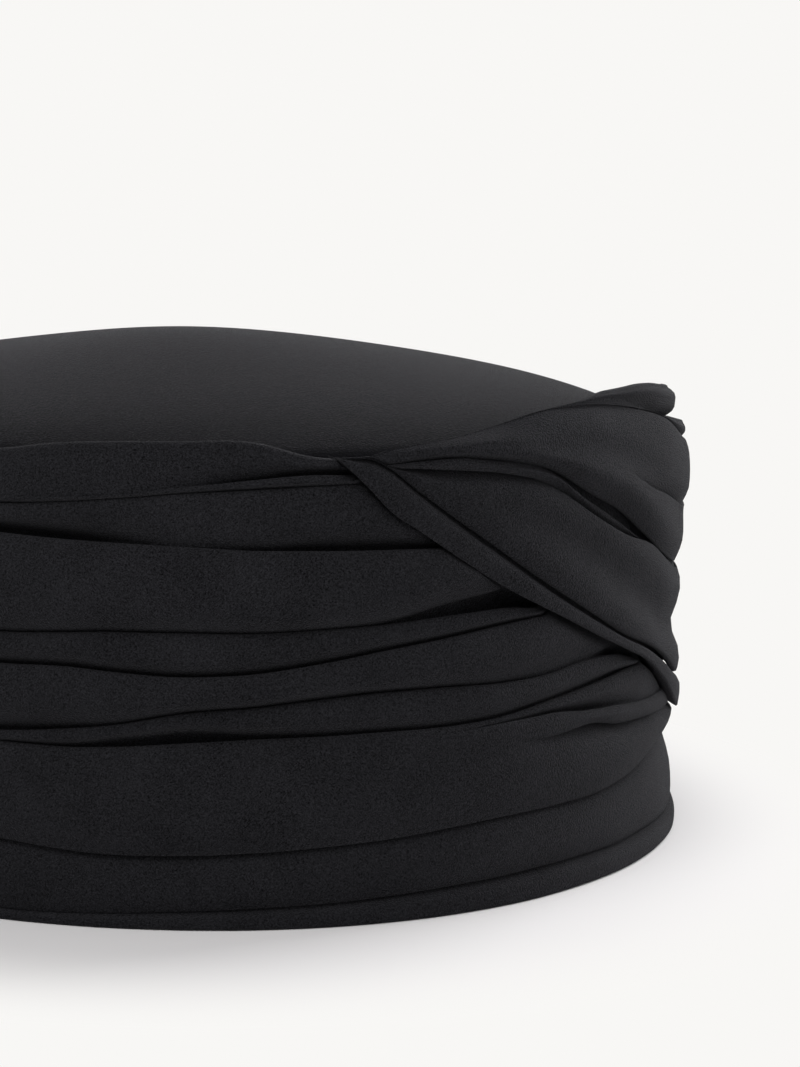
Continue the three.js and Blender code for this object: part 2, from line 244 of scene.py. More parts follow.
SWATHE_AT = [-4.2, -3, -1.5, 0, 3, 6, 12, 18, 24, 30, 36, 42, 50, 58, 75, 105, 150, 180, 200, 214]
SWATHE_RIM = [
    80.5, 80.5, 80.6, 81.4, 82.1, 82.6, 84, 85.8, 86.6, 87.5, 87.5, 86.9, 85.3, 83.9, 79.5, 73, 77, 80.6, 82,
    82.4,
]
SWATHE_FOOT = [
    79.8, 77.5, 74.6, 71.4, 67.3, 63.3, 56.2, 50.6, 45.4, 41, 36.8, 31.3, 24, 21.5, 20, 20, 25, 42, 62, 80.1,
]
SWATHE_TUCKS = [
    dict(  # the high rear fold, over a small fold behind the shoulder
        over=0,
        height=[
            80.45, 80.45, 80.5, 81.38, 82.08, 82.58, 83.98, 85.77, 86.15, 85.2, 83.5, 81.2, 78.9, 77.2, 75,
            71.5, 74.5, 78.5, 81, 82.2,
        ],
        deep=[0, 0, 0, 0, 0, 0, 0, 0, 0, 0, 0.2, 0.6, 1, 1, 1, 1, 1, 0.8, 0.4, 0],
        gape=0,
    ),
    dict(  # rear edge of the shoulder, which starts where the shoulder turns down to the right
        over=0,
        height=[
            80.4, 80.4, 80.4, 81.36, 82.06, 82.56, 83.96, 85.74, 85.85, 84.9, 83, 80.5, 76, 73.6, 71, 69, 71,
            76, 80, 81.9,
        ],
        deep=[0, 0, 0, 0, 0, 0, 0, 0, 0.6, 1, 1, 0.9, 0.5, 0.4, 0.7, 1, 1, 0.8, 0.4, 0],
        gape=0,
    ),
    dict(  # soft crease across the shoulder
        over=0,
        height=[
            80.35, 80.35, 80.35, 80.2, 80.6, 80.9, 80.8, 79.5, 77, 73.2, 69.2, 66.6, 62.8, 61.5, 60, 60, 62,
            71, 78, 81.6,
        ],
        deep=[0, 0, 0, 0, 0, 0, 0, 0, 0, 0.1, 0.4, 0.5, 0.25, 0.2, 0.2, 0.4, 0.5, 0.5, 0.2, 0],
        gape=0,
    ),
    dict(  # shoulder / thin roll: the roll is in front at first, and further right the shoulder hangs over it
        over=[0, 0, 0, 0, 0, 0, 0.2, 0.8, 1, 1, 1, 1, 1, 1, 1, 1, 1, 1, 1, 1],
        height=[
            80.3, 80.3, 80.2, 79, 79.3, 79.45, 78.2, 75.8, 70.4, 65.9, 60.3, 55.5, 51.6, 50, 49.1, 49.1, 54.4,
            65.4, 76, 81.3,
        ],
        deep=1,
        gape=[0, 0, 0, 0, 0.2, 0.3, 0.3, 0.4, 0.7, 1, 0.9, 0.8, 0.4, 0.1, 0, 0, 0, 0, 0, 0],
    ),
    dict(  # thin roll / panel: the roll hangs over the panel's top, and further right the panel is in front
        over=[1, 1, 1, 1, 1, 1, 1, 0.8, 0, 0, 0, 0, 0, 0, 0, 0, 0, 0, 0, 0],
        height=[
            80.25, 80.25, 80.1, 78.8, 78, 77.4, 76, 73.1, 66.7, 61.9, 58.7, 54.4, 50.8, 49.2, 48.3, 48.3,
            53.4, 64.4, 75.2, 81.1,
        ],
        deep=[1, 1, 1, 1, 1, 1, 1, 1, 1, 0.9, 0.8, 0.7, 0.5, 0.4, 0.4, 0.4, 0.5, 0.5, 0.5, 0.5],
        gape=[0, 0, 0, 0, 0.2, 0.3, 0.4, 0.4, 0.2, 0, 0, 0, 0, 0, 0, 0, 0, 0, 0, 0],
    ),
    dict(  # panel hangs over the strip
        over=1,
        height=[
            80.2, 80.15, 80, 78.6, 74.2, 70, 62.2, 55, 48.8, 43.5, 39.9, 36.1, 30.5, 28.4, 27, 27, 33, 50, 67,
            80.8,
        ],
        deep=1, gape=0,
    ),
]
SWATHE_FOLDS = [
    dict(
        stands=[
            -0.4, -0.4, -0.4, -0.4, -0.9, -1.4, -2.7, -3.2, -3.2, -3, -2.6, -1.8, -0.7, -0.5, -0.4, -0.4,
            -0.6, -0.6, -0.6, -0.6,
        ],
        swell=0.2,
        top=[1, 1, 1, 1, 1, 1, 0.5, 0.5, 0.5, 0.5, 0.6, 1.2, 2, 2, 2, 2, 2, 2, 1, 1],
        foot=2,
        lean=[0, 0, 0, 0, 0, 0, 0, 0, -0.4, -1.2, -1.5, -1.4, -0.8, -0.6, -0.6, -0.4, 0, 0, 0, 0],
        rim=[
            0.1, 0.1, 0.1, 0.1, 0.1, 0.1, 0.1, 0.1, 0.1, 0.2, 0.3, 0.8, 1.3, 1.3, 1.2, 0.8, 0.6, 0.5, 0.3,
            0.3,
        ],
    ),
    dict(
        stands=[
            -0.4, -0.4, -0.4, -0.4, -0.9, -1.4, -2.7, -3.2, -2.9, -1.9, -0.6, 0.5, 1.6, 1.9, 1.4, 1, 0.8, 0.6,
            0.2, -0.2,
        ],
        swell=0.2, top=1.3, foot=1,
    ),
    dict(
        stands=[0, 0, 0, 0.2, 0.5, 0.8, 1.3, 1.6, 1.7, 1.8, 1.9, 2.1, 2.4, 2.5, 2, 1.2, 1, 1, 0.8, 0.4],
        swell=0.4,
        top=[0.3, 0.3, 0.3, 0.3, 0.3, 0.3, 0.3, 0.3, 1, 2, 2.6, 2.2, 2, 2, 2, 2, 2, 2, 2, 2],
        foot=3,
        lean=[0.4, 0.4, 0.4, 0.6, 1.4, 2.2, 4, 4.8, 4.6, 3.6, 2.2, 1, 0.2, 0, 0, 0, 0, 0, 0, 0],
    ),
    dict(
        stands=[0, 0, 0, 0.2, 0.4, 0.6, 1, 1.4, 1.7, 2, 2, 1.8, 1.6, 1.5, 1.3, 1, 1, 1, 0.8, 0.4],
        swell=0.3, top=3, foot=5,
        under=[0, 0, 0, 0, 0, 0, 0.3, 0.8, 1.4, 1.7, 1.6, 1.2, 0.8, 0.8, 0.7, 0.6, 0.6, 0.6, 0.3, 0],
    ),
    dict(
        stands=[
            0.2, 0.2, 0.2, 0.4, 0.6, 0.7, 0.7, 0.4, -0.3, -0.9, -1.1, -0.8, -0.2, 0, 0.2, 0.3, 0.3, 0.3, 0.3,
            0.3,
        ],
        swell=0.1, top=1.2, foot=1.2,
    ),
    dict(
        stands=[0.2, 0.2, 0.2, 0.4, 0.6, 0.8, 1.1, 1.3, 1.5, 1.7, 1.8, 1.7, 1.4, 1.2, 1, 1, 1, 1, 0.8, 0.4],
        swell=0.5, top=3, foot=3,
        lean=[0, 0, 0, 0.1, 0.2, 0.2, 0.1, 0, 0, 0, 0, 0, 0, 0, 0, 0, 0, 0, 0, 0],
    ),
    dict(
        stands=[0.6, 0.6, 0.6, 0.6, 0.7, 0.8, 0.9, 1, 1.1, 1.2, 1.3, 1.3, 1.2, 1, 1, 1, 1, 1, 0.8, 0.4],
        swell=0.4, top=2, foot=2,
    ),
]
SWATHE_HOLLOWS = [
    dict(  # the panel falls in below the shoulder, deeper towards the right-hand side
        height=[60, 60, 60, 60, 68, 71, 69.5, 64.8, 59.5, 53.6, 48, 42.5, 39.5, 38.5, 37, 36, 40, 52, 60, 70],
        out=[0, 0, 0, 0, 0, -0.2, -0.7, -1.4, -1.9, -2.1, -2.1, -2, -2.2, -2.6, -1.8, -1, -0.5, 0, 0, 0],
        reach=4.5,
    ),
    dict(  # across the middle of the shoulder
        height=[80, 80, 80, 80, 81, 82, 82.9, 81, 79, 76, 72.6, 69, 66, 65, 62, 61, 63, 72, 79, 81.7],
        out=[0, 0, 0, 0, 0, -0.2, -0.7, -1.1, -1.2, -1.1, -0.8, -0.3, 0, 0, 0, 0, 0, 0, 0, 0],
        reach=2.6,
    ),
]

# ---------------------------------------------------------------------------------------------
# How folds and tucks are shaped
# ---------------------------------------------------------------------------------------------

SET_BACK = 2.0  # how far a face lies behind the fold that stands in front of it at a tuck
SET_BACK_SHARE = 0.5  # and never further than this share of its own height
CREST_SET_BACK = 0.35  # a fold's edge lies this far behind the middle of its own face
CREST_RADIUS = 0.75  # crepe of about half a millimetre, doubled over itself
HIDDEN_TUCK = 4.0  # how far a tuck runs on behind the fold in front
HIDDEN_SHARE = 0.6  # and never further than this share of the smaller fold beside it
FULL_TUCK = 2.5  # beside a fold that is lower than this, a tuck is smaller in proportion
TUCK_CUT = 0.8  # how far the bottom of a shut tuck lies behind the faces beside it
GAPE_CUT = 1.2  # and how much further for each millimetre that it stands open
GAPE_SHARE = 0.6  # a tuck stands open over no more than this share of the fold that it opens towards
TUCK_LIP = 0.35  # size of the turn where a face goes back into a tuck
FADED_TUCK = 0.6  # half the height that a tuck's points take up where it has faded out
FACE_POINTS = 9
MOST_TOP_TURN = 0.45  # greatest shares of a face's height that turn in at its top and foot
MOST_FOOT_TURN = 0.7
LEAN_POWER = 1.5
FULL_SWELL = 8.0  # a face that is lower than this swells less
FULL_ROLL = 4.0  # a top fold that is lower than this has a narrower roll at its rim
FOOT_ROLL = 0.6  # height of the turn under the lowest fold
FULL_FOOT_ROLL = 2.0  # and where that fold is lower than this, the turn is smaller in proportion
SWAY = 0.12  # slow unevenness of the hand-laid tucks and faces
SWAY_WAVES = (3, 5, 8, 13)  # whole waves round the hat
SWAYING_FOLDS = 4.0  # a tuck sways where the two folds beside it are together taller than this
FACE_SEED = 40  # the faces draw their sway this far on from the tucks
LEAST_SHARE = 0.02  # smallest share of a full size, so that no two points fall together
LEAST_STEP = 0.02  # smallest height of a fold

COVERED_BACK = -3.7  # where the wrap lies under the swathe
COVER_FALL = 1.8  # and it has fallen in to there this far above the swathe's lower edge
NO_SWATHE = 200.0  # stands for that edge where the wrap has no swathe on it, well above the hat
SWATHE_BACK = -3.1  # where the swathe's own inner side lies, over it
# how far below the swathe's lower edge the wrap starts to fall in under it, at the wrap's columns
SWATHE_DIP = [
    0.6, 0.6, 0.6, 0.6, 0.6, 0.6, 0.6, 0.6, 0.6, 0.6, 0.6, 0.6, 0.7, 1.6, 1.9, 1.9, 1, 0.7, 0.6, 0.6, 0.6,
    0.6,
]
WALL_GAP = 0.8  # which the cloth's ripples don't bridge
WRAP_INSIDE = WALL + WALL_GAP - DRAPE_DEPTH  # inner side of the wrap and swathe
OVER_HEM = 1.75  # height of the wrap's underside over the crown's hem
RIM_SEAT = 79.0  # greatest height at which the swathe turns in over the wrap's rim
SEAT_DROP = 3.5  # and at least this far under its own rim
FULL_SWATHE = 4.0  # where the swathe is lower than this, its turns are smaller in proportion
THIN_ROLL = 0.25  # where the swathe's rim is rolled less than this, the cloth falls in steeply behind it

# first angle, last angle and step of the sections, closest together where the folds turn most
WRAP_SECTIONS = [(WRAP_AT[0], -46, 1.4), (-46, 62, 0.8), (62, WRAP_AT[0] + FULL_TURN, 1.4)]
SWATHE_SECTIONS = [(SWATHE_AT[0], 6, 0.35), (6, 64, 0.7), (64, SWATHE_AT[-1], 1.2)]


def smooth_row(columns, row, angles):
    """Values at angles from a row of a table, on a smooth curve through every column. A single number
    holds all the way."""
    if np.isscalar(row):
        return np.full(len(angles), float(row))
    closed = columns[0] == WRAP_AT[0]
    columns, row = np.array(columns, float), np.array(row, float)
    if closed:  # the wrap's table comes round to its own first column
        columns = np.concatenate([[columns[-1] - FULL_TURN], columns, [columns[0] + FULL_TURN]])
        row = np.concatenate([[row[-1]], row, [row[0]]])
        angles = np.where(angles < columns[1], angles + FULL_TURN, angles)
    slope = np.gradient(row, columns)
    steps = np.diff(row) / np.diff(columns)
    rising = np.concatenate([[steps[0]], steps]), np.concatenate([steps, [steps[-1]]])
    turning = rising[0] * rising[1] <= 0  # flat at a high or low column, so that no curve overshoots it
    slope = np.where(turning, 0, slope)
    k = np.clip(np.searchsorted(columns, angles, side="right") - 1, 0, len(columns) - 2)
    span = columns[k + 1] - columns[k]
    t = np.clip((angles - columns[k]) / span, 0, 1)
    bend = t * (1 - t) ** 2 * slope[k] * span + t * t * (t - 1) * slope[k + 1] * span
    return mix(row[k], row[k + 1], ramp(t)) + bend


def ramp(value):
    value = np.clip(value, 0, 1)
    return value * value * (3 - 2 * value)


def mix(a, b, share):
    return a + (b - a) * share


def round_the_oval(angles, out, height):
    """Points in metres, at polar angles from the front, out from the drape's outline and above the table."""
    turn = np.radians(angles)[:, None]
    across, along = np.sin(turn), -np.cos(turn)
    reach = 1 / np.hypot(across / (OUTLINE_HALF_WIDTH + out), along / (OUTLINE_HALF_LENGTH + out))
    return np.stack([across * reach, along * reach, height], axis=2) * MM


def sway(angles, seed):
    """Slow unevenness of hand-laid cloth round the hat, in millimetres."""
    random = np.random.default_rng(seed)
    total = np.zeros(len(angles))
    for wave in SWAY_WAVES:
        total += np.sin(np.radians(angles) * wave + random.uniform(0, 2 * math.pi)) * random.uniform(0.4, 1)
    return total * SWAY / len(SWAY_WAVES) ** 0.5


def tuck_points(upper, lower, height, room, over, deep, gape):
    """Points across a tuck, from the foot of the upper face to the top of the lower one."""
    scale = np.clip(room / FULL_TUCK, LEAST_SHARE, 1)
    r = CREST_RADIUS * scale
    run = np.minimum(HIDDEN_TUCK, HIDDEN_SHARE * room)
    back = np.minimum(upper, lower) - (TUCK_CUT + GAPE_CUT * gape) * scale
    lip = TUCK_LIP * scale
    lower_in_front = [
        (upper, gape + lip),
        (upper - lip, gape + 0.1 * lip),
        (back, 0.6 * gape - 0.2 * scale),
        (back, -run),
        (np.maximum(lower - 2 * r - 0.15 * scale, back + 0.1 * scale), -run - 0.2 * scale),
        (lower - 2 * r, -r),
        (lower - 1.7 * r, -0.25 * r),
        (lower - r, 0 * r),
        (lower - 0.3 * r, -0.25 * r),
        (lower, -r),
    ]
    upper_in_front = [
        (upper, r),
        (upper - 0.3 * r, 0.25 * r),
        (upper - r, 0 * r),
        (upper - 1.7 * r, 0.25 * r),
        (upper - 2 * r, r),
        (np.maximum(upper - 2 * r - 0.15 * scale, back + 0.1 * scale), run + 0.2 * scale),
        (back, run),
        (back, 0.2 * scale - 0.6 * gape),
        (lower - lip, -gape - 0.1 * lip),
        (lower, -gape - lip),
    ]
    outs, heights = [], []
    for i, (when_lower, when_upper) in enumerate(zip(lower_in_front, upper_in_front)):
        share = i / (len(lower_in_front) - 1)
        out = mix(when_lower[0], when_upper[0], over)
        rise = mix(when_lower[1], when_upper[1], over)
        outs.append(mix(mix(upper, lower, share), out, deep))
        heights.append(height + mix(FADED_TUCK * scale * (1 - 2 * share), rise, deep))
    return outs, heights


def face_points(top_out, foot_out, stands, top_height, foot_height, fold):
    """Points down the face of a fold, turned in at its top and foot."""
    tall = np.maximum(top_height - foot_height, LEAST_STEP / 2)
    top_share = np.clip(fold["top"] / tall, LEAST_SHARE, MOST_TOP_TURN)
    foot_share = np.clip(fold["foot"] / tall, LEAST_SHARE, MOST_FOOT_TURN)
    swell = fold["swell"] * np.clip(tall / FULL_SWELL, 0, 1)
    outs, heights = [], []
    for i in range(FACE_POINTS):
        x = (1 - math.cos(math.pi * (i + 1) / (FACE_POINTS + 1))) / 2
        near_top = np.clip(1 - x / top_share, 0, 1) ** 2
        near_foot = np.clip((x - 1 + foot_share) / foot_share, 0, 1) ** 2
        face = stands + swell * (1 - (2 * x - 1) ** 2) - fold["lean"] * (1 - x) ** LEAN_POWER
        outs.append(face - (face - top_out) * near_top - (face - foot_out) * near_foot)
        heights.append(top_height - tall * x)
    return outs, heights


def pleated_face(angles, columns, rim, foot, tucks, folds, hollows, roll, seed):
    """The outer side of a draped band from its rim to its foot, as two arrays with a row for each angle,
    then how far out its top and its foot lie, and how deep the roll at its rim is."""
    folds = [dict(lean=0, under=0, rim=0) | fold for fold in folds]
    folds = [{key: smooth_row(columns, fold[key], angles) for key in fold} for fold in folds]
    lines = [rim] + [smooth_row(columns, tuck["height"], angles) for tuck in tucks] + [foot]
    for i in range(1, len(lines) - 1):
        tall_enough = lines[i - 1] - lines[i + 1] > SWAYING_FOLDS
        lines[i] = lines[i] + np.where(tall_enough, sway(angles, seed + i), 0)
        lines[i] = np.minimum(lines[i], lines[i - 1] - LEAST_STEP)
    stands = [fold["stands"] + sway(angles, seed + FACE_SEED + n) for n, fold in enumerate(folds)]
    talls = [lines[i] - lines[i + 1] for i in range(len(folds))]
    tops = [stand - fold["lean"] for stand, fold in zip(stands, folds)]
    feet = [stand - fold["under"] for stand, fold in zip(stands, folds)]
    crossings = []
    for i, tuck in enumerate(tucks):
        over = np.clip(smooth_row(columns, tuck["over"], angles), 0, 1)
        deep = np.clip(smooth_row(columns, tuck["deep"], angles), 0, 1)
        widest = GAPE_SHARE * mix(talls[i], talls[i + 1], over)
        gape = np.clip(smooth_row(columns, tuck["gape"], angles), 0, widest)
        room = np.minimum(talls[i], talls[i + 1])
        between = (feet[i] + tops[i + 1]) / 2
        back = tuck.get("back", SET_BACK)
        back_upper = np.minimum(back, SET_BACK_SHARE * talls[i])
        back_lower = np.minimum(back, SET_BACK_SHARE * talls[i + 1])
        upper = mix(between, feet[i] - mix(back_upper, CREST_SET_BACK, over), deep)
        lower = mix(between, tops[i + 1] - mix(CREST_SET_BACK, back_lower, over), deep)
        points = tuck_points(upper, lower, lines[i + 1], room, over, deep, gape)
        crossings.append((upper, lower, points))
    rim_roll = roll * np.clip(talls[0] / FULL_ROLL, LEAST_SHARE, 1)
    foot_roll = FOOT_ROLL * np.clip(talls[-1] / FULL_FOOT_ROLL, LEAST_SHARE, 1)
    outs, heights = [], []
    for i, fold in enumerate(folds):
        last = i == len(tucks)
        top_out = crossings[i - 1][1] if i else stands[0] - fold["rim"]
        foot_out = feet[i] if last else crossings[i][0]
        top_height = crossings[i - 1][2][1][-1] if i else rim - rim_roll
        foot_height = foot + foot_roll if last else crossings[i][2][1][0]
        face = face_points(top_out, foot_out, stands[i], top_height, foot_height, fold)
        outs += face[0]
        heights += face[1]
        if not last:
            outs += crossings[i][2][0]
            heights += crossings[i][2][1]
    outs, heights = np.stack(outs, axis=1), np.stack(heights, axis=1)
    for hollow in hollows:
        middle = smooth_row(columns, hollow["height"], angles)[:, None]
        size = smooth_row(columns, hollow["out"], angles)[:, None]
        reach = smooth_row(columns, hollow["reach"], angles)[:, None]
        outs = outs + size * np.exp(-(((heights - middle) / reach) ** 2))
    return outs, heights, outs[:, 0], outs[:, -1], rim_roll


def stack_rows(pairs, count):
    """Pairs of out and height, each a number or a value for every angle, as two arrays like a face's."""
    outs = [np.broadcast_to(np.asarray(out, float), (count,)) for out, _ in pairs]
    heights = [np.broadcast_to(np.asarray(height, float), (count,)) for _, height in pairs]
    return np.stack(outs, axis=1), np.stack(heights, axis=1)


def section_angles(runs):
    """Angles of a band's sections, from its first to its last."""
    angles = []
    for first, last, step in runs:
        count = max(int(round((last - first) / step)), 1)
        angles.append(np.linspace(first, last, count + 1)[:-1])
    return np.concatenate(angles + [[runs[-1][1]]])


def arc_lengths(points):
    steps = np.linalg.norm(np.diff(points, axis=0), axis=1)
    return np.concatenate([[0], np.cumsum(steps)])


def face_outwards(mesh):
    work = bmesh.new()
    work.from_mesh(mesh)
    bmesh.ops.recalc_face_normals(work, faces=work.faces)
    if work.calc_volume(signed=True) < 0:
        bmesh.ops.reverse_faces(work, faces=work.faces)
    work.to_mesh(mesh)
    work.free()


def make_piece(name, mesh):
    face_outwards(mesh)
    mesh.shade_smooth()
    piece = bpy.data.objects.new(name, mesh)
    bpy.context.scene.collection.objects.link(piece)
    return piece


def cloth_mesh(name, sections, closed):
    """A mesh through closed sections, with a UV map called cloth that is in metres along and across
    the cloth."""
    stations, points = sections.shape[:2]
    spans = stations if closed else stations - 1
    faces, cloth = [], []
    middle = sections[:, points // 3]  # a line along the middle of the face, on which lengths are measured
    along = arc_lengths(middle)
    along = np.append(along, along[-1] + np.linalg.norm(middle[0] - middle[-1]))
    across = np.array([arc_lengths(np.vstack([s, s[:1]])) for s in sections])
    for s in range(spans):
        n = (s + 1) % stations
        for i in range(points):
            j = (i + 1) % points
            faces.append((s * points + i, s * points + j, n * points + j, n * points + i))
            cloth += [
                (along[s], across[s, i]),
                (along[s], across[s, i + 1]),
                (along[s + 1], across[n, i + 1]),
                (along[s + 1], across[n, i]),
            ]
    if not closed:
        for s, order in ((0, range(points)), (stations - 1, range(points - 1, -1, -1))):
            faces.append(tuple(s * points + i for i in order))
            cloth += [(along[s], across[s, i]) for i in order]
    mesh = bpy.data.meshes.new(name)
    mesh.from_pydata(sections.reshape(-1, 3).tolist(), [], faces)
    layer = mesh.uv_layers.new(name="cloth")
    layer.data.foreach_set("uv", np.array(cloth, np.float32).ravel())
    return make_piece(name, mesh)


# ---------------------------------------------------------------------------------------------
# Pieces
# ---------------------------------------------------------------------------------------------


def lay_wrap():
    """The pleated wrap: over its rim from the inner wall, down its folds, and under to the wall again."""
    angles = section_angles(WRAP_SECTIONS)[:-1]  # the last section is the first one again
    count = len(angles)
    rim = smooth_row(WRAP_AT, WRAP_RIM, angles)
    foot = smooth_row(WRAP_AT, WRAP_FOOT, angles)
    outs, heights, top, low, roll = pleated_face(
        angles, WRAP_AT, rim, foot, WRAP_TUCKS, WRAP_FOLDS, WRAP_HOLLOWS, roll=1.2, seed=3
    )
    inside = WRAP_INSIDE
    rim_turn = stack_rows(
        [
            (inside, rim - 6),
            (inside + 0.3, rim - 3.6),
            (inside + 1.8, rim - 2.6),
            (mix(inside, top, 0.6), rim - 1.5),
            (top - 2.2, rim - 0.4),
            (top - 1.2, rim),
            (top - 0.5, rim - 0.2 * roll),
            (top - 0.1, rim - 0.6 * roll),
        ],
        count,
    )
    tuck_under = stack_rows(
        [
            (low - 0.1, foot + 0.2),
            (low - 0.35, foot),
            (low - 0.6, foot + 0.2),
            (low - 0.7, np.maximum(foot + 0.6, OVER_HEM)),
            (inside + 3, OVER_HEM),
            (inside, OVER_HEM),
            (inside, 30),
            (inside, 60),
        ],
        count,
    )
    outs = np.concatenate([rim_turn[0], outs, tuck_under[0]], axis=1)
    heights = np.concatenate([rim_turn[1], heights, tuck_under[1]], axis=1)
    under_swathe = (angles >= SWATHE_AT[0]) & (angles <= SWATHE_AT[-1])
    swathe_foot = np.where(under_swathe, smooth_row(SWATHE_AT, SWATHE_FOOT, angles), NO_SWATHE)[:, None]
    dip = smooth_row(WRAP_AT, SWATHE_DIP, angles)[:, None]
    covered = ramp((heights - swathe_foot + dip) / (dip + COVER_FALL))
    outs = mix(outs, np.minimum(outs, COVERED_BACK), covered)
    return cloth_mesh("pleated_wrap", round_the_oval(angles, outs, heights), closed=True)


def lay_swathe():
    """The crossing swathe: over the wrap's rim, down its folds, and back up behind them."""
    angles = section_angles(SWATHE_SECTIONS)
    count = len(angles)
    rim = smooth_row(SWATHE_AT, SWATHE_RIM, angles)
    foot = smooth_row(SWATHE_AT, SWATHE_FOOT, angles)
    outs, heights, top, low, roll = pleated_face(
        angles, SWATHE_AT, rim, foot, SWATHE_TUCKS, SWATHE_FOLDS, SWATHE_HOLLOWS, roll=0.5, seed=17
    )
    small = np.clip((rim - foot) / FULL_SWATHE, 2 * LEAST_SHARE, 1)
    inside = WRAP_INSIDE
    seat = np.maximum(np.minimum(RIM_SEAT, rim - SEAT_DROP), foot + 0.3 * small)
    under_rim = rim - seat
    sharp = small * (1 - np.clip(roll / THIN_ROLL, 0, 1))
    rim_turn = stack_rows(
        [
            (inside, seat + 0.05 * under_rim),
            (inside + 0.3, seat + 0.2 * under_rim),
            (mix(inside, top, 0.4), seat + 0.35 * under_rim),
            (top - 3, rim - 0.45 * under_rim),
            (top - 2.3, rim - 0.4 * small - 0.8 * sharp),
            (top - 1.2, rim - 0.7 * sharp),
            (top - 0.5, rim - 0.2 * roll - 0.3 * sharp),
            (top - 0.1, rim - 0.6 * roll),
        ],
        count,
    )
    back_foot = np.minimum(foot + 2.3, seat - 0.02 * small)
    tuck_under = stack_rows(
        [
            (low - 0.1, foot + 0.25 * small),
            (low - 0.35, foot),
            (low - 0.5, foot + 0.1 * small),
            (np.minimum(low - 0.55, 0.35), foot + 0.25 * small),
            (SWATHE_BACK, back_foot),
            (SWATHE_BACK, mix(back_foot, seat, 0.6)),
            (SWATHE_BACK - 0.2, seat),
        ],
        count,
    )
    outs = np.concatenate([rim_turn[0], outs, tuck_under[0]], axis=1)
    heights = np.concatenate([rim_turn[1], heights, tuck_under[1]], axis=1)
    return cloth_mesh("crossing_swathe_cloth", round_the_oval(angles, outs, heights), closed=False)


DOME_INSET = 0.5  # the dome's edge lies this far inside the head opening's outline
DOME_DROP = 11.4  # from the top of the dome to its edge, without the brow
DOME_ROUNDNESS = 1.2  # power of the dome's fall once past its nearly level middle
DOME_LEVEL = 0.2  # share of the oval over which the middle is nearly level
DOME_BROW = 1.8  # the further fall at the very edge of the dome
DOME_BROW_POWER = 8
DOME_RINGS = 34
INNER_DOME_RINGS = 20
INNER_DOME_INSET = 5.0
FIRST_RING = 0.04  # size of the ring round the very top, as a share of the oval
CROWN_SEGMENTS = 240
# out from the head opening, and down from the dome's edge
SHOULDER = [(0.3, 0.55), (1.0, 1.2), (1.7, 2.2), (2.3, 3.5), (2.65, 5), (WALL, 7)]
INNER_SHOULDER = [(0, 9), (-0.5, 6.6), (-1.7, 4.7), (-3.2, 3.4)]
WALL_HEIGHTS = (60, 40, 20, 6)
HEM_TALL = 1.5
HEM_OUT = DRAPE_DEPTH - 1.0
HEM = [  # out from the head opening, and height: over, round and under the hem
    (WALL, HEM_TALL + 1),
    (WALL + 0.6, HEM_TALL),
    (HEM_OUT - 0.3, HEM_TALL),
    (HEM_OUT, HEM_TALL - 0.3),
    (HEM_OUT, 0.3),
    (HEM_OUT - 0.3, 0),
    (0.4, 0),
    (0, 0.4),
]


def dome_fall(share):
    """How far the dome has fallen from its top at a share of the oval's size."""
    slope = (share**2 + DOME_LEVEL**2) ** (DOME_ROUNDNESS / 2) - DOME_LEVEL**DOME_ROUNDNESS
    full = (1 + DOME_LEVEL**2) ** (DOME_ROUNDNESS / 2) - DOME_LEVEL**DOME_ROUNDNESS
    return DOME_DROP * slope / full + DOME_BROW * share**DOME_BROW_POWER


def block_crown():
    """The crown: dome, shoulder, wall, hem turned out under the drape, and back up inside."""
    turn = np.radians(np.arange(CROWN_SEGMENTS) * FULL_TURN / CROWN_SEGMENTS)
    head_width = OUTLINE_HALF_WIDTH - DRAPE_DEPTH
    head_length = OUTLINE_HALF_LENGTH - DRAPE_DEPTH
    edge = CROWN_TOP - dome_fall(1)
    # out from the head opening, height, and share of the oval for the dome's rings
    outer_dome = [(-DOME_INSET, CROWN_TOP - dome_fall(s), s) for s in np.linspace(FIRST_RING, 1, DOME_RINGS)]
    inner_shares = np.linspace(1, FIRST_RING, INNER_DOME_RINGS)
    inner_dome = [(-INNER_DOME_INSET, CROWN_TOP - WALL - dome_fall(s), s) for s in inner_shares]
    below = [(out, edge - drop) for out, drop in SHOULDER] + [(WALL, h) for h in WALL_HEIGHTS] + HEM
    below += [(0, h) for h in reversed(WALL_HEIGHTS)] + [(out, edge - drop) for out, drop in INNER_SHOULDER]
    rings = outer_dome + [(out, height, 1) for out, height in below] + inner_dome
    points = []
    for out, height, share in rings:
        x = (head_width + out) * share * np.sin(turn)
        y = -(head_length + out) * share * np.cos(turn)
        points.append(np.stack([x, y, np.full(CROWN_SEGMENTS, height)], axis=1))
    grid = np.concatenate(points) * MM
    top, under = len(grid), len(grid) + 1
    vertices = grid.tolist() + [(0, 0, CROWN_TOP * MM), (0, 0, (CROWN_TOP - WALL) * MM)]
    faces = []
    for i in range(CROWN_SEGMENTS):
        j = (i + 1) % CROWN_SEGMENTS
        faces.append((top, i, j))
        for r in range(len(rings) - 1):
            a, b = r * CROWN_SEGMENTS, (r + 1) * CROWN_SEGMENTS
            faces.append((a + i, b + i, b + j, a + j))
        a = (len(rings) - 1) * CROWN_SEGMENTS
        faces.append((a + i, under, a + j))
    mesh = bpy.data.meshes.new("crown_cover")
    mesh.from_pydata(vertices, [], faces)
    return make_piece("crown_cover", mesh)


# ---------------------------------------------------------------------------------------------
# Materials
# ---------------------------------------------------------------------------------------------

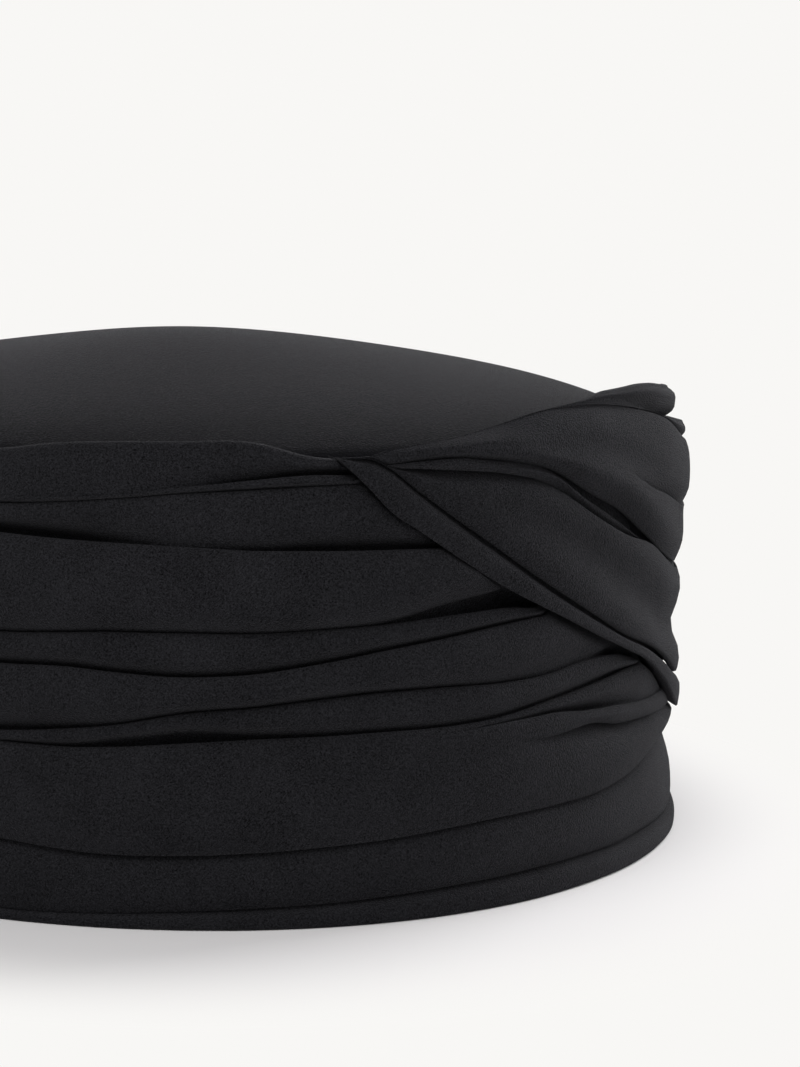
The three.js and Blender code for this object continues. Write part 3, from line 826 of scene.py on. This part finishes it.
CREPE_ROUGHNESS = 0.88
CREPE_IOR = 1.46  # viscose
CREPE_SHEEN = "#d8d6de"
CRINKLES = (1.5, 2.6, 2.0)  # to the millimetre, so that a crinkle is about 0.7 by 0.4 mm
CRINKLE_SHARE = 0.3  # the rest of the relief is pebble
CLOUDS = 0.09  # to the millimetre: faint cloudiness of the dye, about 11 mm across
CLOUD_TONE = 0.35
# the pebble's pits are painted darker in the colour: partly the yarn's own tone, partly painted shade
RELIEF_PAINTED_SHADE = 2.1  # how strongly the relief shows in the colour
TONE_LEVEL = -0.73  # which brings the middle of the tones to the middle of the two colours
RELIEF_STRENGTH = 0.9


def linear(hex_colour):
    """An sRGB hex colour as linear RGBA."""
    values = [int(hex_colour[i : i + 2], 16) / 255 for i in (1, 3, 5)]
    return tuple(v / 12.92 if v <= 0.04045 else ((v + 0.055) / 1.055) ** 2.4 for v in values) + (1.0,)


def add_node(tree, kind, settings=None, **inputs):
    """Adds a node with its settings. An input is a value, or another node's output to link from."""
    node = tree.nodes.new(kind)
    for key, value in (settings or {}).items():
        setattr(node, key, value)
    for key, value in inputs.items():
        socket = node.inputs[int(key[1:])] if key[0] == "_" else node.inputs[key.replace("_", " ")]
        if isinstance(value, bpy.types.NodeSocket):
            tree.links.new(value, socket)
        else:
            socket.default_value = value
    return node


def crepe(name, shade, light, crinkle_angle, on_cloth, grain, depth, bloom, nap, gloss):
    """Matte viscose crepe, woven from hard-twisted yarns that shrink into a fine pebble: it takes the light
    dully and evenly, with short crinkles on the bias and a soft bloom where the eye skims along it.
    The pebble's pits are painted darker, towards shade, and its tops lighter, towards light: partly the
    yarn's own tone and partly painted shade. grain is pebbles to the millimetre, depth the relief in
    millimetres, nap how widely the bloom spreads."""
    material = bpy.data.materials.new(name)
    material.use_nodes = True
    tree = material.node_tree
    tree.nodes.clear()
    place = add_node(tree, "ShaderNodeTexCoord")
    source = place.outputs["UV"] if on_cloth else place.outputs["Object"]
    solid = place.outputs["Object"]
    pebble = add_node(tree, "ShaderNodeTexNoise", Vector=solid, Scale=grain / MM, Detail=1.0, Roughness=0.6)
    bias = add_node(tree, "ShaderNodeMapping", Vector=source)
    bias.inputs["Rotation"].default_value = (0, 0, math.radians(crinkle_angle))
    bias.inputs["Scale"].default_value = [crinkles / MM for crinkles in CRINKLES]
    crinkle = add_node(
        tree, "ShaderNodeTexNoise", Vector=bias.outputs[0], Scale=1.0, Detail=2.0, Roughness=0.55
    )
    cloudy = add_node(tree, "ShaderNodeTexNoise", Vector=solid, Scale=CLOUDS / MM, Detail=3.0)
    relief = add_node(tree, "ShaderNodeMix", {"data_type": "FLOAT"}, _0=CRINKLE_SHARE)
    tree.links.new(pebble.outputs["Fac"], relief.inputs[2])
    tree.links.new(crinkle.outputs["Fac"], relief.inputs[3])
    bump = add_node(
        tree, "ShaderNodeBump", Strength=RELIEF_STRENGTH, Distance=depth * MM, Height=relief.outputs[0]
    )
    times_plus = {"operation": "MULTIPLY_ADD"}
    # painted shade in part: the lower the relief, the darker the colour in the pebble's pits
    tone = add_node(
        tree, "ShaderNodeMath", times_plus, _0=relief.outputs[0], _1=RELIEF_PAINTED_SHADE, _2=TONE_LEVEL
    )
    clouded = add_node(
        tree, "ShaderNodeMath", times_plus, _0=cloudy.outputs["Fac"], _1=CLOUD_TONE, _2=tone.outputs[0]
    )
    colour = add_node(tree, "ShaderNodeValToRGB", Fac=clouded.outputs[0])
    for stop, shown in zip(colour.color_ramp.elements, (shade, light)):
        stop.color = linear(shown)
    shader = add_node(
        tree,
        "ShaderNodeBsdfPrincipled",
        Base_Color=colour.outputs[0],
        Roughness=CREPE_ROUGHNESS,
        IOR=CREPE_IOR,
        Normal=bump.outputs[0],
    )
    shader.inputs["Specular IOR Level"].default_value = gloss
    shader.inputs["Sheen Weight"].default_value = bloom
    shader.inputs["Sheen Roughness"].default_value = nap
    shader.inputs["Sheen Tint"].default_value = linear(CREPE_SHEEN)
    add_node(tree, "ShaderNodeOutputMaterial", Surface=shader.outputs[0])
    return material


def settle(piece, material, height, width, seed):
    """Gives the cloth the faint unevenness of hand-laid crepe, then sets its material."""
    tree = bpy.data.node_groups.new(piece.name + "_settle", "GeometryNodeTree")
    for label, way, kind in (
        ("Cloth", "INPUT", "NodeSocketGeometry"),
        ("Ripple height", "INPUT", "NodeSocketFloat"),
        ("Ripple width", "INPUT", "NodeSocketFloat"),
        ("Seed", "INPUT", "NodeSocketFloat"),
        ("Cloth", "OUTPUT", "NodeSocketGeometry"),
    ):
        tree.interface.new_socket(label, in_out=way, socket_type=kind)
    inputs = add_node(tree, "NodeGroupInput").outputs
    where = add_node(tree, "GeometryNodeInputPosition")
    normal = add_node(tree, "GeometryNodeInputNormal")
    rate = add_node(tree, "ShaderNodeMath", {"operation": "DIVIDE"}, _0=1.0, _1=inputs["Ripple width"])
    # ripples lie along the folds, so they are twice as close together up the hat as round it
    stretched = add_node(
        tree, "ShaderNodeVectorMath", {"operation": "MULTIPLY"}, _0=where.outputs[0], _1=(0.5, 0.5, 1.0)
    )
    ripple = add_node(
        tree,
        "ShaderNodeTexNoise",
        {"noise_dimensions": "4D"},
        Vector=stretched.outputs[0],
        W=inputs["Seed"],
        Scale=rate.outputs[0],
        Detail=1.0,
    )
    level = add_node(tree, "ShaderNodeMath", {"operation": "SUBTRACT"}, _0=ripple.outputs["Fac"], _1=0.5)
    lift = add_node(
        tree, "ShaderNodeMath", {"operation": "MULTIPLY"}, _0=level.outputs[0], _1=inputs["Ripple height"]
    )
    offset = add_node(
        tree, "ShaderNodeVectorMath", {"operation": "SCALE"}, _0=normal.outputs[0], Scale=lift.outputs[0]
    )
    moved = add_node(tree, "GeometryNodeSetPosition", Geometry=inputs["Cloth"], Offset=offset.outputs[0])
    real = add_node(tree, "GeometryNodeRealizeInstances", Geometry=moved.outputs[0])
    dressed = add_node(tree, "GeometryNodeSetMaterial", Geometry=real.outputs[0], Material=material)
    add_node(tree, "NodeGroupOutput", _0=dressed.outputs[0])
    modifier = piece.modifiers.new("settle", "NODES")
    modifier.node_group = tree
    values = {"Ripple height": height * MM, "Ripple width": width * MM, "Seed": seed}
    for item in tree.interface.items_tree:
        if item.in_out == "INPUT" and item.name in values:
            modifier[item.identifier] = values[item.name]
    finished = bpy.data.meshes.new_from_object(piece.evaluated_get(bpy.context.evaluated_depsgraph_get()))
    finished.name = piece.name
    piece.modifiers.remove(modifier)
    piece.data = finished
    return piece


# the same crepe twice: laid loosely on the bias in the drape, with a pebble of 0.28 mm, and stretched
# over the crown, which flattens its relief, opens the pebble to 0.36 mm and brings up its bloom
drape_crepe = crepe(
    "black_viscose_crepe_drape",
    shade="#070708",
    light="#343438",
    crinkle_angle=28,
    on_cloth=True,
    grain=3.6,
    depth=0.9,
    bloom=0.07,
    nap=0.3,
    gloss=0.04,
)
crown_crepe = crepe(
    "black_viscose_crepe_crown",
    shade="#09090b",
    light="#19191c",
    crinkle_angle=8,
    on_cloth=False,
    grain=2.8,
    depth=0.3,
    bloom=0.2,
    nap=0.19,
    gloss=0.02,
)

wrap = settle(lay_wrap(), drape_crepe, height=0.5, width=14, seed=2.0)
swathe = settle(lay_swathe(), drape_crepe, height=0.5, width=14, seed=5.0)
crown = settle(block_crown(), crown_crepe, height=0.35, width=30, seed=9.0)

for piece, node, slot_name in (
    (wrap, "wrap", "drape_crepe"),
    (swathe, "crossing_swathe", "drape_crepe"),
    (crown, "crown", "crown_crepe"),
):
    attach(piece, "root")
    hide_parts(node)

# ---------------------------------------------------------------------------------------------
# Floor, light and camera
# ---------------------------------------------------------------------------------------------

BACKDROP = "#f8f7f5"
FLOOR_HALF = 12.0  # half the side of the sheet, in metres
PAPER = (0.9, 0.885, 0.895, 1)  # white paper, as linear colour
SHADOW_SHIFT = 0.09  # the hat's shadow lies this far towards the front left, in the hat's half sizes
SHADOW_EDGE = (1.0, 1.42)  # where the paper starts to glow, and where it does nothing else

SOFTBOXES = {  # place, what it is aimed at and size, in metres, and watts
    "top_softbox": ((-0.35, -0.5, 1.3), (0, 0, 0.05), (0.9, 0.9), 8),
    "back_softbox": ((0.35, 1.2, 0.5), (0, 0, 0.08), (1.6, 0.5), 8),
    "right_softbox": ((1.2, 0.45, 0.5), (0, 0, 0.05), (0.9, 0.9), 19),
}
STUDIO_LEFT = 0.42  # how bright the white studio is at either side of the hat
STUDIO_RIGHT = 0.72
STUDIO_TOP = 0.65  # and overhead, as a share of that

CAMERA_DISTANCE = 0.680  # from the hat's middle, level
CAMERA_HEIGHT = 0.1508
CAMERA_SIDE = 18.0  # degrees round towards the left
AIM_SIDE = 21.632  # degrees that the camera's line of sight is turned towards +X
AIM_DOWN = 8.257
CAMERA_LENS = 116.34  # on a sensor 36 mm wide
CAMERA_SENSOR = 36


def seamless_floor():
    """A white sheet under the hat, whose far part glows evenly into the backdrop's white."""
    mesh = bpy.data.meshes.new("seamless_floor")
    half = FLOOR_HALF
    corners = [(-half, -half, 0), (half, -half, 0), (half, half, 0), (-half, half, 0)]
    mesh.from_pydata(corners, [], [(0, 1, 2, 3)])
    floor = bpy.data.objects.new("seamless_floor", mesh)
    bpy.context.scene.collection.objects.link(floor)
    material = bpy.data.materials.new("matt_white_sweep")
    material.use_nodes = True
    tree = material.node_tree
    tree.nodes.clear()
    place = add_node(tree, "ShaderNodeTexCoord")
    oval = add_node(tree, "ShaderNodeMapping", {"vector_type": "POINT"}, Vector=place.outputs["Object"])
    oval.inputs["Location"].default_value = (SHADOW_SHIFT, SHADOW_SHIFT, 0)
    oval.inputs["Scale"].default_value = (1 / (OUTLINE_HALF_WIDTH * MM), 1 / (OUTLINE_HALF_LENGTH * MM), 1)
    distance = add_node(tree, "ShaderNodeVectorMath", {"operation": "LENGTH"}, _0=oval.outputs[0])
    share = add_node(
        tree,
        "ShaderNodeMapRange",
        {"interpolation_type": "SMOOTHSTEP"},
        Value=distance.outputs["Value"],
        From_Min=SHADOW_EDGE[0],
        From_Max=SHADOW_EDGE[1],
    )
    paper = add_node(tree, "ShaderNodeBsdfDiffuse", Color=PAPER)
    glow = add_node(tree, "ShaderNodeEmission", Color=linear(BACKDROP), Strength=1.0)
    blend = add_node(
        tree, "ShaderNodeMixShader", _0=share.outputs[0], _1=paper.outputs[0], _2=glow.outputs[0]
    )
    add_node(tree, "ShaderNodeOutputMaterial", Surface=blend.outputs[0])
    mesh.materials.append(material)


def softbox(name, place, aim, size, watts):
    light = bpy.data.lights.new(name, "AREA")
    light.shape = "RECTANGLE"
    light.size, light.size_y = size
    light.energy = watts
    lamp = bpy.data.objects.new(name, light)
    lamp.location = place
    lamp.rotation_euler = (Vector(aim) - Vector(place)).to_track_quat("-Z", "Y").to_euler()
    lamp.visible_camera = False
    bpy.context.scene.collection.objects.link(lamp)


def white_studio():
    """The white room round the hat. It lights the hat less from the left and from overhead, but the
    camera sees it evenly white."""
    world = bpy.data.worlds.new("white_studio")
    world.use_nodes = True
    room = world.node_tree
    background = room.nodes["Background"]
    background.inputs["Color"].default_value = linear(BACKDROP)
    way = add_node(room, "ShaderNodeTexCoord")
    split = add_node(room, "ShaderNodeSeparateXYZ", Vector=way.outputs["Generated"])
    level = add_node(
        room,
        "ShaderNodeMapRange",
        Value=split.outputs["X"],
        From_Min=-1.0,
        To_Min=STUDIO_LEFT,
        To_Max=STUDIO_RIGHT,
    )
    overhead = add_node(room, "ShaderNodeMapRange", Value=split.outputs["Z"], To_Min=1.0, To_Max=STUDIO_TOP)
    dimmed = add_node(
        room, "ShaderNodeMath", {"operation": "MULTIPLY"}, _0=level.outputs[0], _1=overhead.outputs[0]
    )
    seen = add_node(room, "ShaderNodeLightPath")
    strength = add_node(room, "ShaderNodeMix", _0=seen.outputs["Is Camera Ray"], _2=dimmed.outputs[0], _3=1.0)
    room.links.new(strength.outputs[0], background.inputs["Strength"])
    bpy.context.scene.world = world
    bpy.context.scene.view_settings.view_transform = "Standard"


def aim_camera():
    camera_data = bpy.data.cameras.new("camera")
    camera_data.lens = CAMERA_LENS
    camera_data.sensor_width = CAMERA_SENSOR
    camera_data.clip_start = 0.01
    camera = bpy.data.objects.new("camera", camera_data)
    bpy.context.scene.collection.objects.link(camera)
    side = math.radians(CAMERA_SIDE)
    camera.location = (-CAMERA_DISTANCE * math.sin(side), -CAMERA_DISTANCE * math.cos(side), CAMERA_HEIGHT)
    turn, down = math.radians(AIM_SIDE), math.radians(AIM_DOWN)
    sight = Vector((math.sin(turn) * math.cos(down), math.cos(turn) * math.cos(down), -math.sin(down)))
    camera.rotation_euler = sight.to_track_quat("-Z", "Y").to_euler()
    bpy.context.scene.camera = camera


seamless_floor()
for lamp_name, setting in SOFTBOXES.items():
    softbox(lamp_name, *setting)
white_studio()
aim_camera()
